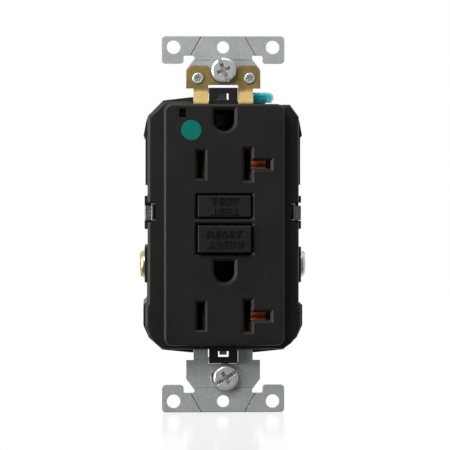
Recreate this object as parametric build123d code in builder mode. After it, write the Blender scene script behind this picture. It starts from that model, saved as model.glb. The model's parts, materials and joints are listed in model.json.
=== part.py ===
from build123d import *
import os

# 20 A ground-fault duplex receptacle with a decorator face, ground slots up.
# Millimetres. X to the right, Y into the wall, Z up. The origin is midway between the
# two box screws, on the back plane of the mounting strap.

os.makedirs("parts", exist_ok=True)

# ------------------------------------------------------------------ driving dimensions
strap_t = 1.2            # strap sheet
strap_half = 51.4        # half of the strap's length
plate_screw_z = 48.4     # cover-plate screws, 96.8 apart
box_screw_z = 41.95      # box screws
ear_half_w = 16.75
ear_hole_x = 13.55
leg_in, leg_out = 4.1, 8.1

face_y = -8.4            # front of the face
flange_y = -3.2          # front of the flange
face_half_w, face_half_h = 16.3, 32.8
body_back = 28.0
housing_draft = (0.965, 0.98)    # the housing's back over its front, across and along
boss_x, boss_z = 17.2, 26.6      # housing screws
wire_x = 18.4                    # wire entries, between terminal and pressure plates
cavity_half_w = 15.0
cavity_back = 26.2

blade_x = 6.35
outlet_z = (16.3, -24.8)         # blade centre lines of the two outlets
ground_above = 11.9              # ground pin above its blades
test_z = (2.1, 7.9)              # test button, low and high
reset_z = (-7.5, -0.2)           # reset button, low and high
button_half_w = 7.2
reset_axis_z = -3.85

line_z, load_z = -11.05, 17.4    # terminal heights
terminal_y = 9.0
pressure_t = 1.2                 # pressure plate under a terminal screw
terminal_head_t = 1.7
tight_face = 17.6                # outer face of a terminal plate
backed_out = {-1: 2.0, 1: 2.55}  # how far the line screws are backed out
shaft_gap = 0.07                 # running clearance of a shank in its hole

ground_screw_xy = (10.2, 4.9)
board_y = (22.0, 23.4)
light_x, light_z = -11.3, 30.3


# ------------------------------------------------------------------ helpers
def at_depth(y):
    """Sketch plane at depth y in X and Z. It extrudes towards the room."""
    return Plane.XZ.offset(-y)


def block(x, y, z, mode=Mode.ADD):
    """Box between two limits on each axis."""
    with Locations(((x[0] + x[1]) / 2, (y[0] + y[1]) / 2, (z[0] + z[1]) / 2)):
        Box(x[1] - x[0], y[1] - y[0], z[1] - z[0], mode=mode)


def side_block(side, x, y, z, mode=Mode.ADD):
    """Box on the hot side (-1) or on the neutral side (+1); x is measured outwards."""
    low, high = sorted((side * x[0], side * x[1]))
    block((low, high), y, z, mode)


def rod(axis, centre, radius, span, mode=Mode.ADD):
    """Cylinder along X, Y or Z; centre holds the two other coordinates."""
    middle = (span[0] + span[1]) / 2
    if axis == "X":
        place, turn = (middle, centre[0], centre[1]), (0, 90, 0)
    elif axis == "Y":
        place, turn = (centre[0], middle, centre[1]), (90, 0, 0)
    else:
        place, turn = (centre[0], centre[1], middle), (0, 0, 0)
    with Locations(place):
        Cylinder(radius, span[1] - span[0], rotation=turn, mode=mode)


def finish(name, piece):
    """Label a finished piece and write it."""
    piece.part.label = name
    export_step(piece.part, f"parts/{name}.step")


def drive_recess(top, head_r, head_t, angle):
    """Slot and cross of a combination-drive screw, cut down from the plane top."""
    with BuildSketch(top) as slot:
        Rectangle(2.2 * head_r, 0.3 * head_r, rotation=angle)
    extrude(slot.sketch, amount=-0.45 * head_t, mode=Mode.SUBTRACT)
    with BuildSketch(top) as cross:
        Rectangle(1.1 * head_r, 0.27 * head_r, rotation=angle)
        Rectangle(1.1 * head_r, 0.27 * head_r, rotation=angle + 90)
    extrude(cross.sketch, amount=-0.8 * head_t, mode=Mode.SUBTRACT)


def combination_screw(seat, head_r, head_t, shank_r, length, angle, neck=0.6, crown=0.42):
    """Round-headed screw. The plane seat is under its head and points out of the head."""
    with BuildPart() as screw:
        with BuildSketch(seat):
            Circle(head_r)
        extrude(amount=head_t)
        fillet(screw.edges().filter_by(GeomType.CIRCLE).sort_by(seat_axis(seat))[-1], crown * head_t)
        with BuildSketch(seat):
            Circle(shank_r - 0.35)
        extrude(amount=-neck)
        with BuildSketch(seat.offset(-neck)):
            Circle(shank_r)
        extrude(amount=neck - length)
        chamfer(screw.edges().filter_by(GeomType.CIRCLE).sort_by(seat_axis(seat))[0], 0.5)
        drive_recess(seat.offset(head_t), head_r, head_t, angle)
    return screw


def seat_axis(seat):
    """Axis through a plane's origin along its normal."""
    return Axis(seat.origin, seat.z_dir)


# ------------------------------------------------------------------ mounting strap
ladder_half_w, ladder_half_h = 15.6, 31.6
window_half_w = 13.2
strap_window_z = 38.15           # end of the window between the two legs
slot_reach, slot_w = 3.4, 4.0    # box-screw slot


def strap_half_outline(sign):
    """Outline of one end of the strap, from its legs to its ears."""
    right = [
        (leg_out, ladder_half_h - 0.5), (leg_out, 37.15), (10.1, 37.15), (10.1, 42.3),
        (7.9, 45.2), (7.9, 46.1), (10.8, 46.1), (10.8, 43.9), (ear_half_w, 43.9),
        (ear_half_w, strap_half),
    ]
    left = [(-x, z) for x, z in reversed(right)]
    return [(x, sign * z) for x, z in right + left]


with BuildPart() as mounting_strap:
    with BuildSketch(at_depth(0)) as strap_sketch:
        for sign in (1, -1):
            with BuildLine():
                Polyline(*strap_half_outline(sign), close=True)
            make_face()
        Rectangle(2 * ladder_half_w, 2 * ladder_half_h)
        ear_corners = [v for v in strap_sketch.vertices() if abs(v.X) > 16 and abs(v.Y) > 43]
        fillet(ear_corners, 1.0)
        ear_roots = [v for v in strap_sketch.vertices() if 10.5 < abs(v.X) < 11 and 43.5 < abs(v.Y) < 45]
        fillet(ear_roots, 0.9)
        notch_corners = [v for v in strap_sketch.vertices() if 7.5 < abs(v.X) < 11 and abs(v.Y) > 45]
        fillet(notch_corners, 0.4)
        for sign, inner_end in ((1, 24.0), (-1, 29.4)):
            with Locations((0, sign * (inner_end + strap_window_z) / 2)):
                RectangleRounded(2 * leg_in + 0.1, strap_window_z - inner_end, 0.5, mode=Mode.SUBTRACT)
            with Locations((0, sign * box_screw_z)):
                SlotOverall(2 * slot_reach, slot_w, mode=Mode.SUBTRACT)
            with Locations((0, sign * plate_screw_z)):
                Circle(1.65, mode=Mode.SUBTRACT)
            with Locations((ear_hole_x, sign * plate_screw_z), (-ear_hole_x, sign * plate_screw_z)):
                Circle(1.85, mode=Mode.SUBTRACT)
        for low, high in ((11.2, 21.6), (-17.2, 9.2), (-29.6, -19.6)):
            with Locations((0, (low + high) / 2)):
                Rectangle(2 * window_half_w, high - low, mode=Mode.SUBTRACT)
        with Locations((light_x, light_z)):
            Rectangle(2.2, 2.8, mode=Mode.SUBTRACT)
    extrude(amount=strap_t)
    for sign in (1, -1):
        for side in (1, -1):
            for y in (0, -strap_t):
                with BuildSketch(at_depth(y)):
                    with BuildLine():
                        Polyline((side * 5.8, sign * 51.6), (side * 8.9, sign * 46.0))
                    trace(line_width=0.3)
                extrude(amount=0.22, both=True, mode=Mode.SUBTRACT)
        block((-7.6, 7.6), (-strap_t, -strap_t + 0.1), (sign * 44.8 - 0.1, sign * 44.8 + 0.1), Mode.SUBTRACT)
    block((6.6, 13.0), (-strap_t, 8.6), (ladder_half_h - 1.2, ladder_half_h))
    rod("Z", ground_screw_xy, 2.05 + shaft_gap, (28, 33), Mode.SUBTRACT)
finish("mounting_strap", mounting_strap)

# ------------------------------------------------------------------ brass ground bridge
bridge_t = 0.8
bridge_front = -strap_t - bridge_t
bend_z, tuck_z = 36.7, 33.1
leg_front = -4.0
rivet_places = ((-6.95, 39.9), (7.2, 39.9))

with BuildPart() as ground_bridge:
    with BuildSketch(at_depth(-strap_t)) as bridge_sketch:
        with BuildLine():
            lobe = [(10.15, 37.1), (10.15, 41.9), (8.7, 43.3), (4.9, 43.3), (0, 43.3)]
            mirror_lobe = [(-x, z) for x, z in reversed(lobe[:-1])]
            Polyline(*lobe, *mirror_lobe, close=True)
        make_face()
        soft = [v for v in bridge_sketch.vertices() if v.Y > 41.5]
        fillet(soft, 0.7)
        with Locations((0, box_screw_z + 0.1)):
            Circle(3.6, mode=Mode.SUBTRACT)
            with Locations((0, 3)):
                Rectangle(7.2, 6, mode=Mode.SUBTRACT)
        with Locations((0, 37.4)):
            Rectangle(2 * leg_in, 1.3, mode=Mode.SUBTRACT)
        for side in (1, -1):
            with Locations((side * (leg_in + leg_out) / 2, (bend_z + 37.1) / 2)):
                Rectangle(leg_out - leg_in, 37.1 - bend_z)
        crown = [v for v in bridge_sketch.vertices() if abs(v.X) < 4.2 and v.Y > 43]
        fillet(crown, 1.15)
    extrude(amount=bridge_t)
    # each leg is bent towards the room and then down behind the face
    for side in (1, -1):
        with BuildSketch(Plane.YZ.offset(side * (leg_in + leg_out) / 2)):
            with BuildLine():
                FilletPolyline(
                    (-strap_t - bridge_t / 2, bend_z + 0.6), (-strap_t - bridge_t / 2, bend_z - 0.5),
                    (leg_front + bridge_t / 2, tuck_z), (leg_front + bridge_t / 2, 31.3), radius=3.0,
                )
            trace(line_width=bridge_t)
        extrude(amount=(leg_out - leg_in) / 2, both=True)
    for x, z in rivet_places:
        rod("Y", (x, z), 1.0, (bridge_front - 1, 0), Mode.SUBTRACT)
finish("ground_bridge", ground_bridge)

with BuildPart() as bridge_rivets:
    for x, z in rivet_places:
        rod("Y", (x, z), 1.0, (bridge_front, -strap_t))
        with BuildSketch(at_depth(bridge_front)):
            with Locations((x, z)):
                Circle(1.5)
        extrude(amount=0.55)
    fillet(bridge_rivets.edges().filter_by(GeomType.CIRCLE).group_by(Axis.Y)[0], 0.3)
    for x, z in rivet_places:
        with BuildSketch(at_depth(bridge_front - 0.55)):
            with Locations((x, z)):
                for turn in (0, 60, 120):
                    Rectangle(1.9, 0.32, rotation=turn + 12)
        extrude(amount=-0.3, mode=Mode.SUBTRACT)
finish("bridge_rivets", bridge_rivets)

# ------------------------------------------------------------------ front cover
tab_half_w, tab_top, tab_bottom = 3.9, 37.3, -37.9
recess_half_w = 7.6
test_well, reset_well = (1.75, 8.2), (-8.0, 0.15)
flange_right = [
    (0, 32.7), (18.2, 32.7), (20.65, 29.4), (20.65, -21.3), (21.25, -22.1), (21.25, -27.7),
    (20.2, -30.5), (18.6, -32.5), (16.4, -34.1), (0, -34.1),
]
flange_left = [(-x, z) for x, z in reversed(flange_right[2:-1])] + [(-16.3, 33.5), (-9.0, 33.5), (-4.3, 32.7)]


def u_opening():
    """Ground opening with a flat top and a round bottom."""
    Circle(2.735)
    with Locations((0, 1.5)):
        Rectangle(5.47, 3.0)


def t_opening():
    """Neutral opening of a 20 A outlet: an upright blade slot with an arm to the right."""
    Rectangle(1.86, 8.4)
    with Locations(((12.55 - blade_x) / 2, 0)):
        Rectangle(12.55 - blade_x, 2.1)


with BuildPart() as front_cover:
    with BuildSketch(at_depth(0)):
        with BuildLine():
            Polyline(*flange_right, *flange_left, close=True)
        make_face()
    extrude(amount=-flange_y)
    fillet(front_cover.faces().sort_by(Axis.Y)[0].edges(), 0.9)
    with BuildSketch(at_depth(0)):
        RectangleRounded(2 * face_half_w, 2 * face_half_h, 2.1)
    extrude(amount=-face_y)
    fillet(front_cover.faces().sort_by(Axis.Y)[0].edges(), 0.7)
    # openings with wide chamfers
    with BuildSketch(at_depth(face_y)):
        for z in outlet_z:
            with Locations((-blade_x, z)):
                Rectangle(2.3, 7.45)
        for low, high in (test_well, reset_well):
            with Locations((0, (low + high) / 2)):
                Rectangle(2 * recess_half_w, high - low)
    extrude(amount=face_y, mode=Mode.SUBTRACT)
    front_edges = front_cover.edges(Select.LAST).filter_by_position(Axis.Y, face_y - 0.01, face_y + 0.01)
    chamfer(front_edges, 0.55)
    with BuildSketch(at_depth(face_y)):
        for z in outlet_z:
            with Locations((0, z + ground_above)):
                u_opening()
            with Locations((blade_x, z)):
                t_opening()
    extrude(amount=face_y, mode=Mode.SUBTRACT)
    front_edges = front_cover.edges(Select.LAST).filter_by_position(Axis.Y, face_y - 0.01, face_y + 0.01)
    chamfer(front_edges, 0.75)
    with BuildSketch(at_depth(face_y)):
        with Locations((light_x, light_z)):
            Rectangle(1.95, 2.45)
    extrude(amount=face_y, mode=Mode.SUBTRACT)
    rod("Y", (-9.0, 25.7), 2.75, (face_y - 1, face_y + 0.6), Mode.SUBTRACT)
    # pockets behind the openings, for the contacts
    for z in outlet_z:
        block((-blade_x - 2.1, -blade_x + 2.1), (-6.2, 0), (z - 4.8, z + 4.8), Mode.SUBTRACT)
        block((blade_x - 2.1, blade_x + 2.1), (-6.2, 0), (z - 4.8, z + 4.8), Mode.SUBTRACT)
        block((blade_x, 13.15), (-6.2, 0), (z - 2.3, z + 2.3), Mode.SUBTRACT)
        block((-3.3, 3.3), (-6.2, 0), (z + ground_above - 3.3, z + ground_above + 2.6), Mode.SUBTRACT)
    # bed of the strap, and the notches that its legs and the bridge's legs leave by
    block((-15.8, 15.8), (-strap_t - 0.1, 0), (-31.8, 31.8), Mode.SUBTRACT)
    for side in (1, -1):
        for low, high in ((31, 36), (-36, -31)):
            side_block(side, (leg_in - 0.15, leg_out + 0.15), (-strap_t - 0.1, 0), (low, high), Mode.SUBTRACT)
        side_block(side, (leg_in - 0.15, leg_out + 0.15), (leg_front - 0.15, 0), (31.1, 36), Mode.SUBTRACT)
    # side windows for the clips
    for side in (1, -1):
        side_block(side, (18.4, 22), (flange_y - 1, 0), (0.6, 6.1), Mode.SUBTRACT)
    # screw bosses are blind holes in the flange
    for x in (-boss_x, boss_x):
        for z in (-boss_z, boss_z):
            rod("Y", (x, z), 1.3, (-2.2, 0), Mode.SUBTRACT)
    # snap tabs at both ends, each with a window
    for low, high, roof, pane in (
        (face_half_h - 0.6, tab_top, (tab_top - 1.2, tab_top), (34.0, 35.75)),
        (tab_bottom, -face_half_h + 0.6, (tab_bottom, tab_bottom + 1.2), (-36.2, -34.6)),
    ):
        block((-tab_half_w, tab_half_w), (-3.2, -1.5), (low, high))
        block((-tab_half_w, tab_half_w), (-3.2, 5.6), roof)
        block((-1.45, 1.45), (-4, -1), pane, Mode.SUBTRACT)
    block((-1.6, 1.6), (-1.4, 0), (-34.5, -33.3), Mode.SUBTRACT)
finish("front_cover", front_cover)

with BuildPart() as grade_dot:
    rod("Y", (-9.0, 25.7), 2.72, (face_y - 0.02, face_y + 0.6))
finish("grade_dot", grade_dot)

# ------------------------------------------------------------------ rear housing
housing_side = [
    (21.7, 24.3), (21.2, 23.7), (21.2, 10.9), (20.4, 10.5), (20.4, 7.9), (21.45, 7.7), (21.45, -1.2),
    (20.4, -1.4), (20.4, -6.1), (21.45, -6.2), (21.45, -15.8), (20.8, -16.0), (20.8, -21.2),
    (21.8, -22.1), (21.8, -27.6), (20.3, -31.0), (16.6, -34.3), (8.6, -35.1), (4.4, -35.1),
    (4.4, -33.6),
]
top_right = [(4.4, 33.6), (4.4, 32.3), (17.8, 32.4), (20.4, 29.6), (21.0, 28.2)]
top_left = [(-21.0, 28.2), (-20.4, 29.8), (-16.3, 33.9), (-8.6, 34.8), (-4.4, 34.8), (-4.4, 33.6)]
terminal_pockets = [(side, z) for side in (-1, 1) for z in (line_z, load_z)]
housing_screw_places = [(x, z) for x in (-boss_x, boss_x) for z in (-boss_z, boss_z)]

with BuildPart() as rear_housing:
    with BuildSketch(at_depth(0)) as housing_front:
        with BuildLine():
            mirror_side = [(-x, z) for x, z in reversed(housing_side)]
            Polyline(*top_right, *housing_side, *mirror_side, *top_left, close=True)
        make_face()
    with BuildSketch(at_depth(body_back)):
        add(housing_front.sketch_local)
        scale(by=(*housing_draft, 1))
    loft()
    middle = [e for e in rear_housing.edges() if abs(e.center().Y - body_back / 2) < 0.1]
    fillet([e for e in middle if abs(e.center().X) > 8.3 and abs(e.center().Z) > 26.5], 0.7)
    fillet(rear_housing.faces().sort_by(Axis.Y)[-1].edges(), 0.5)
    # inside
    block((-cavity_half_w, cavity_half_w), (-1, cavity_back), (-32.1, 23.0), Mode.SUBTRACT)
    block((-cavity_half_w, 4.0), (-1, cavity_back), (22, 32.1), Mode.SUBTRACT)
    for x, z in ((-12.5, 20), (-12.5, -8), (12.5, 20), (12.5, -8), (0, -30.6)):
        rod("Y", (x, z), 1.3, (board_y[1], cavity_back + 0.5))
    # ground terminal recess
    block((5.4, 14.2), (-1, 9.6), (ladder_half_h - 1.35, 40), Mode.SUBTRACT)
    rod("Z", ground_screw_xy, 2.5, (23.8, 32), Mode.SUBTRACT)
    for side, z in terminal_pockets:
        side_block(side, (16.5, 23), (3.2, 15.2), (z - 5.0, z + 5.0), Mode.SUBTRACT)
        rod("X", (terminal_y, z), 2.5, (min(side * 14, side * 17), max(side * 14, side * 17)), Mode.SUBTRACT)
        # two wire entries from the back, with funnel mouths
        for step in (-3.3, 3.3):
            rod("Y", (side * wire_x, z + step), 1.3, (14, 29), Mode.SUBTRACT)
            with BuildSketch(Plane(origin=(side * wire_x, body_back, z + step), z_dir=(0, 1, 0))):
                Circle(1.6)
            extrude(amount=-0.9, taper=18, mode=Mode.SUBTRACT)
    for side in (-1, 1):
        # slots for the inner legs of the terminal plates
        side_block(side, (14, 17), (13.4, 15.2), (line_z - 2.1, line_z + 2.1), Mode.SUBTRACT)
        side_block(side, (14, 17), (5.9, 6.9), (load_z - 4.6, load_z - 2.2), Mode.SUBTRACT)
        # seat of the side clip
        side_block(side, (18.3, 22), (-1, 7.2), (0.9, 5.9), Mode.SUBTRACT)
    for x, z in housing_screw_places:
        rod("Y", (x, z), 1.4, (-1, 29), Mode.SUBTRACT)
        rod("Y", (x, z), 2.45, (23.4, 29), Mode.SUBTRACT)
    # shallow label panel and a wire strip gauge on the back
    with BuildSketch(at_depth(body_back)):
        RectangleRounded(23, 44, 1.2)
    extrude(amount=0.3, mode=Mode.SUBTRACT)
    block((13.6, 14.2), (body_back - 0.45, 29), (-5.5, 7.2), Mode.SUBTRACT)
    for z in (-5.8, 6.9):
        block((12.9, 14.9), (body_back - 0.45, 29), (z, z + 0.6), Mode.SUBTRACT)
finish("rear_housing", rear_housing)

with BuildPart() as housing_screws:
    for x, z in housing_screw_places:
        rod("Y", (x, z), 1.25, (-2.1, 23.4))
        rod("Y", (x, z), 2.3, (23.4, 25.2))
        with BuildSketch(Plane(origin=(x, 25.2, z), z_dir=(0, 1, 0))):
            Rectangle(2.6, 0.55)
            Rectangle(0.55, 2.6)
        extrude(amount=-1.1, mode=Mode.SUBTRACT)
finish("housing_screws", housing_screws)

with BuildPart() as side_clips:
    for side in (-1, 1):
        side_block(side, (19.2, 19.55), (-3.0, 0.6), (1.0, 5.8))
        for low in (1.0, 5.45):
            side_block(side, (18.65, 19.2), (-3.0, 0.6), (low, low + 0.35))
        side_block(side, (19.5, 21.3), (-1.6, -0.8), (1.1, 5.1))
        side_block(side, (20.6, 21.3), (-1.6, 7.0), (1.1, 5.1))
        side_block(side, (18.6, 21.3), (6.2, 7.0), (1.1, 5.1))
finish("side_clips", side_clips)

with BuildPart() as end_latches:
    block((-1.2, 1.2), (-0.9, 4.4), (33.6, 34.2))
    block((-1.4, 1.0), (-0.9, -0.3), (34.2, 35.9))
    block((-1.2, 1.2), (-0.9, 4.4), (-34.2, -33.6))
    block((-1.0, 1.0), (-0.9, -0.3), (-35.7, -34.2))
finish("end_latches", end_latches)

# ------------------------------------------------------------------ contact carrier
carrier_back = 9.0
floor_y = 5.0

with BuildPart() as contact_carrier:
    block((-14.8, 14.8), (0, carrier_back), (-31.9, 22.8))
    block((-14.8, 3.8), (0, carrier_back), (22, 31.9))
    for z in outlet_z:
        block((-10.2, -4.2), (-1, 10), (z - 5.4, z + 5.4), Mode.SUBTRACT)
        block((4.2, 13.15), (-1, 10), (z - 5.4, z + 5.4), Mode.SUBTRACT)
        middle = z + ground_above
        block((-3.3, 3.3), (-1, 10), (middle - 3.4, middle + 2.6), Mode.SUBTRACT)
        block((-1.7, 1.7), (-1, 0.7), (middle - 6.9, middle), Mode.SUBTRACT)
    for z in outlet_z:
        for side in (-1, 1):
            side_block(side, (3.8, 8.3), (8.6, 9.6), (z - 5.8, z + 5.8))
    block((-7.8, 7.8), (-1, floor_y), (-8.4, 8.5), Mode.SUBTRACT)
    rod("Y", (0, reset_axis_z), 1.5, (0, 10), Mode.SUBTRACT)
    rod("Y", (0, reset_axis_z), 3.0, (0, floor_y + 2.4), Mode.SUBTRACT)
    rod("Y", (0, 5.0), 1.5, (0, 10), Mode.SUBTRACT)
    block((light_x - 1.1, light_x + 1.1), (-1, 10), (light_z - 1.35, light_z + 1.35), Mode.SUBTRACT)
    for side in (-1, 1):
        side_block(side, (8.5, 10.1), (5.9, 10), (-20.6, 12.0), Mode.SUBTRACT)
        side_block(side, (9.3, 15), (5.9, 10), (-1.0, 9.2), Mode.SUBTRACT)
        side_block(side, (13.3, 15), (5.9, 10), (9.0, 15.4), Mode.SUBTRACT)
        for z in (line_z, load_z):
            rod("X", (terminal_y, z), 2.5, (side * 13.8 - 1.2, side * 13.8 + 1.2), Mode.SUBTRACT)
finish("contact_carrier", contact_carrier)

# ------------------------------------------------------------------ contacts
leaf_t = 0.45


def blade_leaf(x, side, z0, z1):
    """Spring leaf beside an upright blade slot; side says which way it lies from the blade."""
    with BuildSketch(Plane.XY.offset(z0)) as profile:
        with BuildLine():
            Polyline(
                (x + side * 1.25, 6.8), (x + side * 1.25, 1.0),
                (x + side * 0.62, -2.4), (x + side * 1.3, -4.9),
            )
        trace(line_width=leaf_t)
    extrude(profile.sketch, amount=z1 - z0)


def face_contact(side):
    """Blade clips of both outlets on one pole, joined by a bus strip with a fixed tip."""
    upper, lower = outlet_z
    with BuildPart() as contact:
        for z, web in ((upper, -4.4), (lower, 4.4)):
            if side < 0:
                blade_leaf(side * blade_x, -1, z - 4.4, z + 4.4)
                blade_leaf(side * blade_x, 1, z - 4.4, z + 4.4)
            else:
                blade_leaf(side * blade_x, -1, z - 4.4, z + 4.4)
                blade_leaf(side * blade_x, 1, z - 4.4, z - 1.9)
                blade_leaf(side * blade_x, 1, z + 1.9, z + 4.4)
                for rise, throat, lip in ((-1, -0.52, -1.15), (1, -0.02, 1.35)):
                    with BuildSketch(Plane.YZ.offset(7.3)):
                        with BuildLine():
                            Polyline(
                                (6.8, z + rise * 1.3), (1.0, z + rise * 1.3),
                                (-3.6, z + throat), (-5.7, z + lip),
                            )
                        trace(line_width=leaf_t)
                    extrude(amount=4.2)
                    low, high = sorted((z + rise * 1.08, z + rise * 1.52))
                    block((11.3, 13.0), (5.2, 6.8), (low, high))
                block((12.4, 13.0), (5.2, 6.8), (min(z + web, z - 1.6), max(z + web, z + 1.6)))
                block((7.37, 7.82), (3.0, 6.8), (z - 4.4, z - 1.9))
                block((7.37, 7.82), (3.0, 6.8), (z + 1.9, z + 4.4))
            inner = z + web
            outer = inner + (0.5 if web > 0 else -0.5)
            reach = 9.9 if side < 0 else 13.0
            side_block(side, (4.88, reach), (3.0, 6.8), (min(inner, outer), max(inner, outer)))
            # the leaf above the slot arm is tied to its neighbour round the far end
            if side > 0:
                far = z - web
                far_outer = far + (0.5 if web < 0 else -0.5)
                block((4.88, 13.0), (3.0, 6.8), (min(far, far_outer), max(far, far_outer)))
                block((12.4, 13.0), (5.2, 6.8), (min(far, z), max(far, z)))
        side_block(side, (8.7, 9.9), (6.0, 6.8), (lower + 4.9, upper - 4.9))
        side_block(side, (9.9, 11.35), (6.0, 6.8), (5.1, 6.9))
        rod("Y", (side * 10.6, 6.0), 0.7, (6.8, 7.7))
    return contact


hot_face_contact = face_contact(-1)
finish("hot_face_contact", hot_face_contact)
neutral_face_contact = face_contact(1)
finish("neutral_face_contact", neutral_face_contact)

for name, z in (("ground_contact_upper", outlet_z[0]), ("ground_contact_lower", outlet_z[1])):
    middle = z + ground_above
    with BuildPart() as ground_contact:
        for side in (-1, 1):
            with BuildSketch(Plane.XY.offset(middle - 1.8)):
                with BuildLine():
                    Polyline((side * 2.7, 10.4), (side * 2.7, 5.0), (side * 2.1, 1.5), (side * 2.95, -1.5))
                trace(line_width=leaf_t)
            extrude(amount=3.6)
        block((-2.92, 2.92), (10.0, 10.45), (middle - 2.9, middle - 1.4))
        block((-1.5, 1.5), (0, 10.45), (middle - 3.3, middle - 2.85))
        block((-1.5, 1.5), (0, 0.5), (middle - 6.7, middle - 2.85))
    finish(name, ground_contact)

# ------------------------------------------------------------------ terminals
pole = {-1: "hot", 1: "neutral"}

for side in (-1, 1):
    with BuildPart() as line_plate:
        side_block(side, (tight_face - 1.0, tight_face), (3.4, 15.0), (line_z - 4.4, line_z + 4.4))
        side_block(side, (14.9, tight_face - 1.0), (13.5, 15.0), (line_z - 2.0, line_z + 2.0))
        rod("X", (terminal_y, line_z), 2.05 + shaft_gap, (-20, 20), Mode.SUBTRACT)
    finish(f"line_plate_{pole[side]}", line_plate)

    with BuildPart() as load_plate:
        side_block(side, (tight_face - 1.0, tight_face), (3.4, 15.0), (load_z - 4.4, load_z + 4.4))
        side_block(side, (13.5, tight_face - 1.0), (6.0, 6.8), (load_z - 4.4, load_z - 2.4))
        side_block(side, (13.5, 14.7), (6.0, 6.8), (5.1, load_z - 2.4))
        side_block(side, (11.8, 13.5), (6.0, 6.8), (5.1, 6.9))
        rod("Y", (side * 12.5, 6.0), 0.7, (6.8, 7.7))
        rod("X", (terminal_y, load_z), 2.05 + shaft_gap, (side * 18 - 2, side * 18 + 2), Mode.SUBTRACT)
    finish(f"load_plate_{pole[side]}", load_plate)

    for use, z, out, angle in (("line", line_z, backed_out[side], 25), ("load", load_z, 0.0, 70)):
        inner = tight_face + 0.05 + out
        with BuildPart() as pressure_plate:
            side_block(side, (inner, inner + pressure_t), (terminal_y - 4.7, terminal_y + 4.7), (z - 4.3, z + 4.3))
            fillet(pressure_plate.edges().filter_by(Axis.X), 0.8)
            # grooves over the two wires
            for step in (-3.3, 3.3):
                rod("Y", (side * (inner - 0.55), z + step), 1.0, (0, 20), Mode.SUBTRACT)
            rod("X", (terminal_y, z), 2.05 + shaft_gap, (side * 19.5 - 4, side * 19.5 + 4), Mode.SUBTRACT)
        finish(f"{use}_clamp_{pole[side]}", pressure_plate)

        seat = Plane(origin=(side * (inner + pressure_t + 0.05), terminal_y, z), z_dir=(side, 0, 0))
        terminal_screw = combination_screw(seat, 3.75, terminal_head_t, 2.05, 5.6, angle, crown=0.8)
        finish(f"{use}_screw_{pole[side]}", terminal_screw)

# ------------------------------------------------------------------ ground terminal
ground_head_z = 34.0
with BuildPart() as ground_washer:
    rod("Z", ground_screw_xy, 3.6, (ground_head_z - 0.65, ground_head_z - 0.05))
    rod("Z", ground_screw_xy, 2.05 + shaft_gap, (30, 36), Mode.SUBTRACT)
finish("ground_washer", ground_washer)

ground_seat = Plane(origin=(*ground_screw_xy, ground_head_z), z_dir=(0, 0, 1))
ground_screw = combination_screw(ground_seat, 4.0, 2.2, 2.05, 8.0, 62, crown=0.6)
finish("ground_screw", ground_screw)

# ------------------------------------------------------------------ box screws
for place, x, z, rest_y, angle in (
    ("upper", 0.1, box_screw_z + 0.1, bridge_front, -68),
    ("lower", 0.7, -box_screw_z, -strap_t, 32),
):
    with BuildPart() as retainer:
        rod("Y", (x, z), 3.9, (0.05, 0.75))
        rod("Y", (x, z), 1.7 + shaft_gap, (-1, 2), Mode.SUBTRACT)
    finish(f"retainer_{place}", retainer)
    box_seat = Plane(origin=(x, rest_y - 0.05, z), x_dir=(1, 0, 0), z_dir=(0, -1, 0))
    box_screw = combination_screw(box_seat, 3.45, 1.9, 1.7, 31.75, angle, neck=3.0)
    finish(f"box_screw_{place}", box_screw)

# ------------------------------------------------------------------ buttons
with BuildPart() as test_button:
    block((-button_half_w, button_half_w), (face_y - 0.2, -4.6), test_z)
    fillet(test_button.faces().sort_by(Axis.Y)[0].edges(), 0.25)
    block((-button_half_w + 0.6, button_half_w - 0.6), (-4.6, 0.2), (test_z[0] + 0.6, test_z[1] - 0.6))
    block((-button_half_w + 1.6, button_half_w - 1.6), (-6.4, 1), (test_z[0] + 1.5, test_z[1] - 1.5), Mode.SUBTRACT)
    rod("Y", (0, 5.0), 1.0, (-7.0, 2.6))
finish("test_button", test_button)

reset_front = face_y - 1.4
with BuildPart() as reset_button:
    block((-button_half_w, button_half_w), (reset_front, -4.6), reset_z)
    fillet(reset_button.faces().sort_by(Axis.Y)[0].edges(), 0.25)
    block((-button_half_w + 0.6, button_half_w - 0.6), (-4.6, 0.2), (reset_z[0] + 0.6, reset_z[1] - 0.6))
    block((-button_half_w + 1.6, button_half_w - 1.6), (-6.4, 1), (reset_z[0] + 1.3, reset_z[1] - 1.3), Mode.SUBTRACT)
finish("reset_button", reset_button)

with BuildPart() as reset_pin:
    rod("Y", (0, reset_axis_z), 1.2, (-6.35, 13.6))
    rod("Y", (0, reset_axis_z), 1.7, (-6.35, -5.4))
    chamfer(reset_pin.edges().filter_by(GeomType.CIRCLE).sort_by(Axis.Y)[-1], 0.6)
    with BuildSketch(at_depth(12.2)):
        with Locations((0, reset_axis_z)):
            Circle(1.6)
            Circle(0.85, mode=Mode.SUBTRACT)
    extrude(amount=0.8, mode=Mode.SUBTRACT)
finish("reset_pin", reset_pin)

spring_wire = 0.22
with BuildPart() as reset_spring:
    with BuildLine() as reset_helix:
        Helix(pitch=1.45, height=9.8, radius=1.95, center=(0, -5.0, reset_axis_z), direction=(0, 1, 0))
    with BuildSketch(Plane(origin=reset_helix.line @ 0, z_dir=reset_helix.line % 0)):
        Circle(spring_wire)
    sweep(path=reset_helix.line)
finish("reset_spring", reset_spring)

with BuildPart() as test_leaf:
    block((-1.2, 1.2), (3.9, 4.3), (-1.0, 7.0))
    block((-1.2, 1.2), (3.9, floor_y), (-1.0, 0.2))
finish("test_leaf", test_leaf)

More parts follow.
